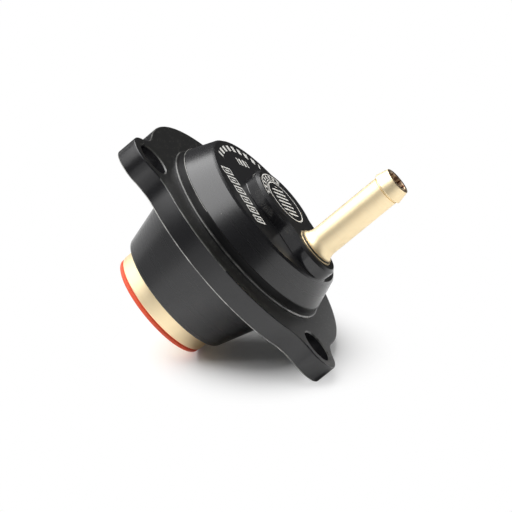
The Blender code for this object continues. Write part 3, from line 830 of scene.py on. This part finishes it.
def build_body(*materials):
    middle = FLANGE_Z - FLANGE_T / 2
    body = turned("turned_body", rounded([
        (0, COLLAR_Z, 0),
        (COLLAR_R, COLLAR_Z, COLLAR_EDGE),
        (COLLAR_R, FLANGE_Z + LAND_H, 0),
        (LAND_R, FLANGE_Z + LAND_H, 2 * EDGE_R),
        (LAND_R, middle, 0),
        (SKIRT_TOP_R, middle, 0),
        (SKIRT_TOP_R, FACE_Z, 0),
        (SKIRT_END_R, SKIRT_Z, 2 * EDGE_R),
        (0, SKIRT_Z, 0),
    ]), WIDE_STEPS)
    flange = plate("flange_plate", flange_outline(), FACE_Z, FLANGE_Z, FLANGE_EDGE, 3)
    body = combine(body, flange, "UNION")
    bore = turned("bore_tool", [
        (0, COLLAR_Z + CUT_PAST),
        (SPIGOT_HOLE_R, COLLAR_Z + CUT_PAST),
        (SPIGOT_HOLE_R, SPIGOT_FLOOR_Z),
        (BORE_R, SPIGOT_FLOOR_Z),
        (BORE_R, SKIRT_Z + LIP_H),
        (LIP_R, SKIRT_Z + LIP_H),
        (LIP_R, SKIRT_Z + EDGE_R),
        (LIP_R + EDGE_R + CUT_PAST, SKIRT_Z - CUT_PAST),
        (0, SKIRT_Z - CUT_PAST),
    ], INNER_STEPS)
    body = combine(body, bore, "DIFFERENCE")
    half = FACE_RING_D / 2 + FACE_GROOVE_GAP
    groove = turned("groove_tool", [
        (FACE_RING_R - half, FACE_Z + FACE_GROOVE_DEPTH),
        (FACE_RING_R + half, FACE_Z + FACE_GROOVE_DEPTH),
        (FACE_RING_R + half, FACE_Z - CUT_PAST),
        (FACE_RING_R - half, FACE_Z - CUT_PAST),
    ], INNER_STEPS, closed=True)
    body = combine(body, groove, "DIFFERENCE")
    wide = BOLT_HOLE_R + BOLT_HOLE_CHAMFER + CUT_PAST
    for a in ear_angles():
        hole = turned("bolt_hole_tool", [
            (0, FLANGE_Z + CUT_PAST),
            (wide, FLANGE_Z + CUT_PAST),
            (BOLT_HOLE_R, FLANGE_Z - BOLT_HOLE_CHAMFER),
            (BOLT_HOLE_R, FACE_Z + BOLT_HOLE_CHAMFER),
            (wide, FACE_Z - CUT_PAST),
            (0, FACE_Z - CUT_PAST),
        ], NARROW_STEPS)
        move(hole, EAR_PITCH_R * cos(a), EAR_PITCH_R * sin(a))
        body = combine(body, hole, "DIFFERENCE")
    return finish(body, "housing", "valve_body", "black_anodised", *materials, pick=body_finish)


def build_cap(*materials):
    groove_r = SPIGOT_R - CAP_RING_D - SEAT_GAP
    cap = turned("screwed_cap", rounded([
        (0, CAP_TOP_Z, 0),
        (CAP_TOP_R - CAP_CHAMFER_W, CAP_TOP_Z, CAP_TOP_EDGE),
        (CAP_TOP_R, CAP_TOP_Z - CAP_CHAMFER_H, CAP_SHOULDER_EDGE),
        (CAP_RIM_R, CAP_RIM_Z, CAP_RIM_EDGE),
        (SPIGOT_R, CAP_RIM_Z, 0),
        (SPIGOT_R, CAP_RING_HIGH_Z + SEAT_GAP, 0),
        (groove_r, CAP_RING_HIGH_Z + SEAT_GAP, 0),
        (groove_r, CAP_RING_LOW_Z - SEAT_GAP, 0),
        (SPIGOT_R, CAP_RING_LOW_Z - SEAT_GAP, 0),
        (SPIGOT_R, SPIGOT_Z, 0),
        (0, SPIGOT_Z, 0),
    ]), WIDE_STEPS)
    under = CAP_TOP_Z - BOSS_H / 2
    boss = plate("boss_plate", boss_outline(0), under, BOSS_Z, BOSS_CHAMFER, 1)
    foot_z = CAP_TOP_Z + BOSS_FOOT
    foot = plate("boss_foot_plate", boss_outline(BOSS_FOOT), under, foot_z, BOSS_FOOT, 1)
    boss = combine(boss, foot, "UNION")
    cap = combine(cap, boss, "UNION")
    chamber = turned("chamber_tool", [
        (0, POCKET_Z),
        (POCKET_R, POCKET_Z),
        (POCKET_R, CEILING_Z),
        (BORE_R, CEILING_Z),
        (BORE_R, SPIGOT_Z - CUT_PAST),
        (0, SPIGOT_Z - CUT_PAST),
    ], INNER_STEPS)
    cap = combine(cap, chamber, "DIFFERENCE")
    port = turned("port_tool", [
        (0, BOSS_Z + CUT_PAST),
        (SPOT_FACE_R, BOSS_Z + CUT_PAST),
        (SPOT_FACE_R, BOSS_Z - SPOT_FACE_DEPTH),
        (SHANK_HOLE_R, BOSS_Z - SPOT_FACE_DEPTH),
        (SHANK_HOLE_R, NIPPLE_LOW_Z - SEAT_GAP),
        (SHANK_BORE_R, NIPPLE_LOW_Z - SEAT_GAP),
        (SHANK_BORE_R, CEILING_Z - CUT_PAST),
        (0, CEILING_Z - CUT_PAST),
    ], NARROW_STEPS)
    cap = combine(cap, move(port, NIPPLE_X), "DIFFERENCE")
    return finish(cap, "housing", "top_cap", "black_anodised", *materials, pick=cap_finish)


def build_piston(brass):
    piston = turned("brass_piston", rounded([
        (0, PISTON_FLOOR_Z, 0),
        (PISTON_CUP_R, PISTON_FLOOR_Z, CUP_FILLET),
        (PISTON_CUP_R, CROWN_Z, 0),
        (PISTON_HEAD_R, CROWN_Z, EDGE_R),
        (PISTON_HEAD_R, GUIDE_GROOVE_HIGH, 0),
        (GUIDE_GROOVE_R, GUIDE_GROOVE_HIGH, 0),
        (GUIDE_GROOVE_R, GUIDE_GROOVE_LOW, 0),
        (PISTON_HEAD_R, GUIDE_GROOVE_LOW, 0),
        (PISTON_HEAD_R, SHOULDER_Z, 0),
        (STEM_R, SHOULDER_Z, 0),
        (STEM_R, PISTON_RIM_Z, PISTON_RIM_EDGE),
        (NOSE_R, PISTON_RIM_Z, 0),
        (NOSE_R, 0, EDGE_R),
        (0, 0, 0),
    ]), WIDE_STEPS)
    return finish(piston, "piston", "piston", "brass", brass)


def build_seal(silicone):
    seal = turned("orange_face_seal", rounded([
        (SEAL_NECK_R, SEAL_TOP_Z, 0),
        (SEAL_NECK_R, SEAL_BEAD_TOP_Z + 0.1, SEAL_NECK_EDGE),
        (SEAL_BEAD_R, SEAL_BEAD_TOP_Z - 0.05, SEAL_BEAD_EDGE),
        (SEAL_BEAD_R, SEAL_LOW_Z, SEAL_EDGE_R),
        (SEAL_IN_R, SEAL_LOW_Z, SEAL_EDGE_R),
        (SEAL_IN_R, SEAL_TOP_Z, EDGE_R),
    ], closed=True), WIDE_STEPS, closed=True)
    return finish(seal, "piston", "piston_face_seal", "orange_silicone", silicone)


def build_face_ring(rubber):
    ring_r = FACE_RING_D / 2
    height = FACE_Z + FACE_GROOVE_DEPTH - FACE_GROOVE_GAP - ring_r
    angles = [pi / 2 - tau * i / FACE_RING_STEPS for i in range(FACE_RING_STEPS)]
    section = [(FACE_RING_R + ring_r * cos(a), height + ring_r * sin(a)) for a in angles]
    ring = turned("mounting_face_ring", section, INNER_STEPS, closed=True)
    return finish(ring, "housing", "flange_o_ring", "black_rubber", rubber)


def build_nipple(brass, bore_shade):
    flare_w = NIPPLE_COLLAR_R - NIPPLE_SHAFT_R
    angles = [pi / 2 * i / NIPPLE_FLARE_STEPS for i in range(NIPPLE_FLARE_STEPS + 1)]
    flare = [
        (NIPPLE_SHAFT_R + flare_w * (1 - cos(a)),
         NIPPLE_COLLAR_H + NIPPLE_FLARE_H * (1 - sin(a)), 0)
        for a in angles
    ]
    shoulder = NIPPLE_L - BARB_H
    profile = rounded([
        (NIPPLE_BORE_R, NIPPLE_L, BARB_EDGE),
        (BARB_TIP_R, NIPPLE_L, BARB_EDGE),
        (BARB_R, shoulder, BARB_EDGE),
        (NIPPLE_SHAFT_R - RELIEF_DEPTH, shoulder, 0),
        (NIPPLE_SHAFT_R - RELIEF_DEPTH, shoulder - RELIEF_W, 0),
        (NIPPLE_SHAFT_R, shoulder - RELIEF_W - RELIEF_DEPTH / 2, 0),
        *flare,
        (NIPPLE_COLLAR_R, 0, NIPPLE_COLLAR_EDGE),
        (SHANK_R, 0, 0),
        (SHANK_R, -NIPPLE_SHANK_L, BARB_EDGE),
        (SHANK_BORE_R, -NIPPLE_SHANK_L, 0),
        (SHANK_BORE_R, 0, 0),
        (NIPPLE_BORE_R, NIPPLE_BORE_R - SHANK_BORE_R, 0),
    ], closed=True)
    nipple = turned("brass_nipple", profile, NARROW_STEPS, closed=True)
    move(nipple, NIPPLE_X, 0, NIPPLE_Z)
    return finish(nipple, "housing", "hose_nipple", "brass", brass, bore_shade, pick=nipple_finish)


def build_washer(brass):
    low = BOSS_Z - SPOT_FACE_DEPTH + WASHER_SEAT_GAP
    washer = turned("nipple_seat_washer", rounded([
        (WASHER_R, WASHER_TOP_Z, WASHER_EDGE),
        (WASHER_R, low, WASHER_EDGE),
        (WASHER_LIP_R + LIP_GAP, low, 0),
        (WASHER_LIP_R + LIP_GAP, WASHER_TOP_Z, 0),
    ], closed=True), NARROW_STEPS, closed=True)
    return finish(move(washer, NIPPLE_X), "housing", "nipple_washer", "brass", brass)


def build_washer_lip(rubber):
    """The rubber bonded inside the washer, squeezed under the nipple's collar."""
    low = BOSS_Z - SPOT_FACE_DEPTH + WASHER_SEAT_GAP
    high = NIPPLE_Z - LIP_GAP
    lip = turned("washer_rubber_lip", rounded([
        (WASHER_LIP_R, high, LIP_EDGE),
        (WASHER_LIP_R, low, LIP_EDGE),
        (SHANK_R + 0.1, low, 0),
        (SHANK_R + 0.1, high, 0),
    ], closed=True), NARROW_STEPS, closed=True)
    return finish(move(lip, NIPPLE_X), "housing", "nipple_washer", "black_rubber", rubber)


def spring_height(turn):
    """Height of the wire after so many turns: one closed turn at each end, even pitch between."""
    low = SPRING_LOW_Z + SPRING_WIRE_D / 2
    high = SPRING_HIGH_Z - SPRING_WIRE_D / 2
    closed = SPRING_WIRE_D + SEAT_GAP
    pitch = (high - low - 2 * closed) / SPRING_TURNS
    if turn < 1:
        return low + closed * turn
    if turn < 1 + SPRING_TURNS:
        return low + closed + pitch * (turn - 1)
    return high - closed * (SPRING_TURNS + 2 - turn)


def build_spring(steel):
    """A compression spring, wound with one closed turn at each end and an even pitch between."""
    curve = bpy.data.curves.new("wound_spring", "CURVE")
    curve.dimensions = "3D"
    curve.bevel_depth = SPRING_WIRE_D / 2 * MM
    curve.bevel_resolution = 4
    curve.use_fill_caps = True
    spline = curve.splines.new("POLY")
    spline.points.add(SPRING_STEPS * (SPRING_TURNS + 2))
    for i, point in enumerate(spline.points):
        turn = i / SPRING_STEPS
        x = SPRING_R * cos(tau * turn)
        y = SPRING_R * sin(tau * turn)
        point.co = (x * MM, y * MM, spring_height(turn) * MM, 1.0)
    wire = bpy.data.objects.new("wound_spring", curve)
    bpy.context.scene.collection.objects.link(wire)
    spring = finish(bake(wire), "housing", "return_spring", "spring_steel", steel)
    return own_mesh(spring)


def dress_inner_pieces(rubber, ptfe):
    """Give their materials to the pieces that stay inside and keep their CAD meshes."""
    for node, mat in (("cap_o_ring", rubber), ("piston_guide_ring", ptfe)):
        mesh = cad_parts[node].data
        mesh.materials.clear()
        mesh.materials.append(mat)


def table_axes():
    """Right, away and up on the table that the tilted valve lies on.

    It leans towards the direction where the flange's rim and the first ear touch the table
    together, and so far that the seal's rim touches it too.
    """
    lean = acos((FLANGE_R - EAR_R) / EAR_PITCH_R)
    tilt = atan2(FACE_Z + FLANGE_EDGE, FLANGE_R - SEAL_OUT_R)
    up = Vector((-sin(tilt) * cos(lean), -sin(tilt) * sin(lean), cos(tilt)))
    sight = camera_turn() @ Vector((0, 0, -1))
    away = (sight - up * sight.dot(up)).normalized()
    return away.cross(up), away, up


def camera_turn():
    """The camera's rotation: round the valve, down towards it, and rolled on its own axis."""
    return (
        Matrix.Rotation(radians(CAMERA_AZIMUTH), 3, "Z")
        @ Matrix.Rotation(radians(90 - CAMERA_ELEVATION), 3, "X")
        @ Matrix.Rotation(radians(CAMERA_ROLL), 3, "Z")
    )


def set_camera():
    data = bpy.data.cameras.new("camera")
    data.lens = CAMERA_LENS
    data.sensor_width = SENSOR_WIDTH
    data.clip_start = CLIP_START
    camera = bpy.data.objects.new("camera", data)
    bpy.context.scene.collection.objects.link(camera)
    camera.matrix_world = Matrix.Translation(Vector(CAMERA_PLACE) * MM) @ camera_turn().to_4x4()
    bpy.context.scene.camera = camera


def white_table():
    """Seamless white paper, which shows the valve's shadow and is plain white further off."""
    mat = bpy.data.materials.new("white_paper")
    mat.use_nodes = True
    tree = mat.node_tree
    tree.nodes.clear()
    coords = add(tree, "ShaderNodeTexCoord").outputs["Object"]
    rays = add(tree, "ShaderNodeLightPath").outputs
    mirrored = calc(tree, "MAXIMUM", rays["Is Glossy Ray"], rays["Is Transmission Ray"])
    under = add(
        tree, "ShaderNodeVectorMath", {0: coords, 1: SHADOW_CENTRE}, operation="SUBTRACT")
    distance = add(
        tree, "ShaderNodeVectorMath", {0: under.outputs[0]}, operation="LENGTH")
    far = add(tree, "ShaderNodeMapRange", {
        0: distance.outputs["Value"], 1: SHADOW_FADE[0], 2: SHADOW_FADE[1], 3: FAINT_GLOW})
    shifted = add(tree, "ShaderNodeMapping", {
        "Vector": coords, "Location": (-0.004, 0.0, 0.0), "Scale": (0.8, 1.0, 1.0)})
    spread = add(tree, "ShaderNodeVectorMath", {0: shifted.outputs[0]}, operation="LENGTH")
    farther = add(tree, "ShaderNodeMapRange", {
        0: spread.outputs["Value"], 1: MIRROR_FADE[0], 2: MIRROR_FADE[1]})
    paper = add(tree, "ShaderNodeBsdfDiffuse", {"Color": linear("#f4f4f4")}).outputs[0]
    strength = calc(tree, "ADD", 1.0, calc(tree, "MULTIPLY", mirrored, MIRROR_GLOW))
    glow = add(tree, "ShaderNodeEmission", {"Color": (1, 1, 1, 1), "Strength": strength}).outputs[0]
    seen = calc(tree, "MULTIPLY", far.outputs[0], rays["Is Camera Ray"])
    reflected = calc(tree, "MULTIPLY", farther.outputs[0], mirrored)
    share = calc(tree, "ADD", seen, reflected, clamp=True)
    front = add(tree, "ShaderNodeMixShader", {0: share, 1: paper, 2: glow}).outputs[0]
    back = add(tree, "ShaderNodeBsdfTransparent").outputs[0]
    side = add(tree, "ShaderNodeNewGeometry").outputs["Backfacing"]
    both_sides = add(tree, "ShaderNodeMixShader", {0: side, 1: front, 2: back}).outputs[0]
    add(tree, "ShaderNodeOutputMaterial", {0: both_sides})
    return mat


def lay_table(pieces, right, away, up):
    """Lay the table against the lowest points of the tilted valve."""
    lowest = min(up.dot(v.co) for piece in pieces for v in piece.data.vertices)
    mesh = bpy.data.meshes.new("table")
    mesh.from_pydata([(x, y, 0.0) for x, y in TABLE_OUTLINE], [], [range(len(TABLE_OUTLINE))])
    table = bpy.data.objects.new("table", mesh)
    bpy.context.scene.collection.objects.link(table)
    turn = Matrix((right, away, up)).transposed()
    centre = Vector(TABLE_SPOT)
    foot = centre - up * (up.dot(centre) - lowest + TABLE_GAP)
    table.matrix_world = Matrix.Translation(foot) @ turn.to_4x4()
    mesh.materials.append(white_table())
    return foot


def light_studio(foot, right, away, up):
    """One wide softbox above and to the left, and white cards that stand round the table."""
    overhead = bpy.data.lights.new("overhead_softbox", "AREA")
    overhead.shape = "RECTANGLE"
    overhead.size, overhead.size_y = SOFTBOX_SIZE
    overhead.energy = SOFTBOX_WATTS
    lamp = bpy.data.objects.new("overhead_softbox", overhead)
    bpy.context.scene.collection.objects.link(lamp)
    turn = Matrix((right, away, up)).transposed()
    lamp.matrix_world = Matrix.Translation(foot + turn @ Vector(SOFTBOX_PLACE)) @ turn.to_4x4()
    lamp.visible_camera = False

    for name, azimuth, width, tall, radiance in CARDS:
        card = bpy.data.lights.new(name, "AREA")
        card.shape = "RECTANGLE"
        card.size = width
        card.size_y = tall
        card.energy = radiance * pi * width * tall
        lamp = bpy.data.objects.new(name, card)
        bpy.context.scene.collection.objects.link(lamp)
        back = right * sin(radians(azimuth)) + away * cos(radians(azimuth))
        facing = Matrix((up.cross(back), up, back)).transposed()
        middle = foot + back * CARD_DISTANCE + up * tall / 2
        lamp.matrix_world = Matrix.Translation(middle) @ facing.to_4x4()
        lamp.visible_camera = False


def set_world():
    """A dim grey room, with plain white where the camera looks past the table."""
    world = bpy.data.worlds.new("studio_room")
    world.use_nodes = True
    bpy.context.scene.world = world
    tree = world.node_tree
    tree.nodes.clear()
    camera_ray = add(tree, "ShaderNodeLightPath").outputs["Is Camera Ray"]
    room = add(tree, "ShaderNodeBackground", {"Color": (1, 1, 1, 1), "Strength": ROOM_STRENGTH})
    white = add(tree, "ShaderNodeBackground", {"Color": (1, 1, 1, 1), "Strength": 1.0})
    mix = add(tree, "ShaderNodeMixShader", {
        0: camera_ray, 1: room.outputs[0], 2: white.outputs[0]}).outputs[0]
    add(tree, "ShaderNodeOutputWorld", {0: mix})


def main():
    turned_mat = turned_anodised()
    # Pale rims: painted highlights along the edges, with some wear
    rim_highlight_and_scuffs = edge_highlight_and_scuff_anodised("black_anodised_worn_rim", "#6a6a68", "#b4b3ae")
    edge_highlight_and_scuffs = edge_highlight_and_scuff_anodised("black_anodised_rubbed_edge", "#2b2b2a", "#5e5e5b")
    milled_wall = milled_anodised("black_anodised_milled", 0.10, 0.16)
    milled_chamfer = milled_anodised("black_anodised_chamfer", 0.30, 0.38)
    nipple_brass = turned_brass("brass_finely_turned", 0.03)
    rubber = moulded_rubber()
    pieces = [
        build_body(turned_mat, blasted_anodised(), rim_highlight_and_scuffs, edge_highlight_and_scuffs, shade_darkened_anodised()),
        build_cap(turned_mat, etched_anodised(), milled_wall, milled_chamfer),
        build_piston(turned_brass("brass_turned", 0.08)),
        build_seal(moulded_silicone()),
        build_face_ring(rubber),
        build_nipple(nipple_brass, bore_shade_brass()),
        build_washer(nipple_brass),
        build_washer_lip(rubber),
        build_spring(drawn_steel()),
    ]
    dress_inner_pieces(rubber, filled_ptfe())
    right, away, up = table_axes()
    foot = lay_table(pieces, right, away, up)
    light_studio(foot, right, away, up)
    set_world()
    set_camera()
    bpy.context.scene.view_settings.view_transform = "Standard"


main()
